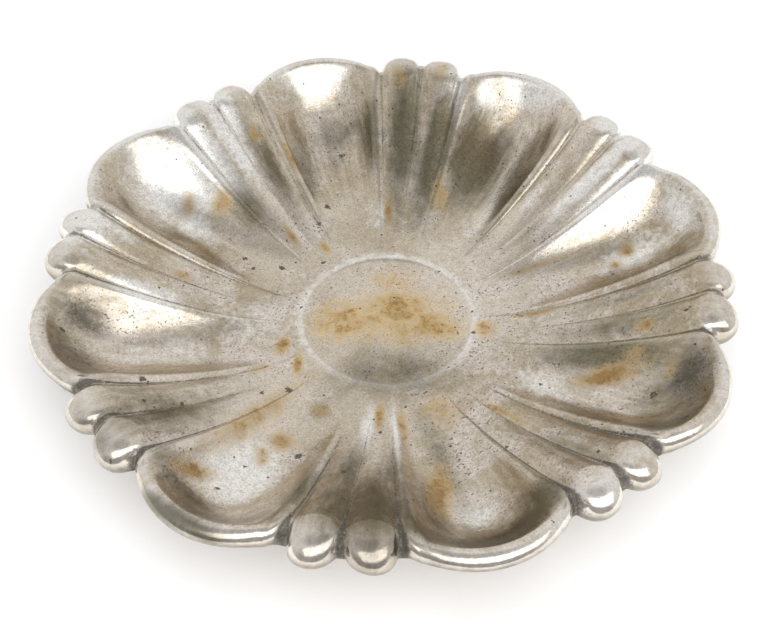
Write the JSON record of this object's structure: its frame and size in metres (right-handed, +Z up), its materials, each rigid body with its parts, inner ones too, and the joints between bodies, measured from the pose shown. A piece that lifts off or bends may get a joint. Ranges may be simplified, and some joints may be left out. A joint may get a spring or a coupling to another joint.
{
  "type": "fruit plate",
  "caption": "Flower-shaped fruit plate of pressed sheet metal with spoon-like petals, ribs that end in round bulbs, a rolled edge, a gently domed medallion and a soldered foot ring.",
  "frame": {"origin": "on the table, under the middle of the plate", "axes": "+Z up out of the dish, +X along the middle of one petal"},
  "size_m": [0.28, 0.28, 0.0426],
  "materials": {
    "plated_sheet": "worn satin silver plate",
    "plated_foot": "satin silver plate",
    "solder": "dull"
  },
  "bodies": {
    "root": {"dish_body": "plated_sheet", "foot_ring": "plated_foot", "outer_solder_seam": "solder", "inner_solder_seam": "solder"}
  },
  "joints": []
}
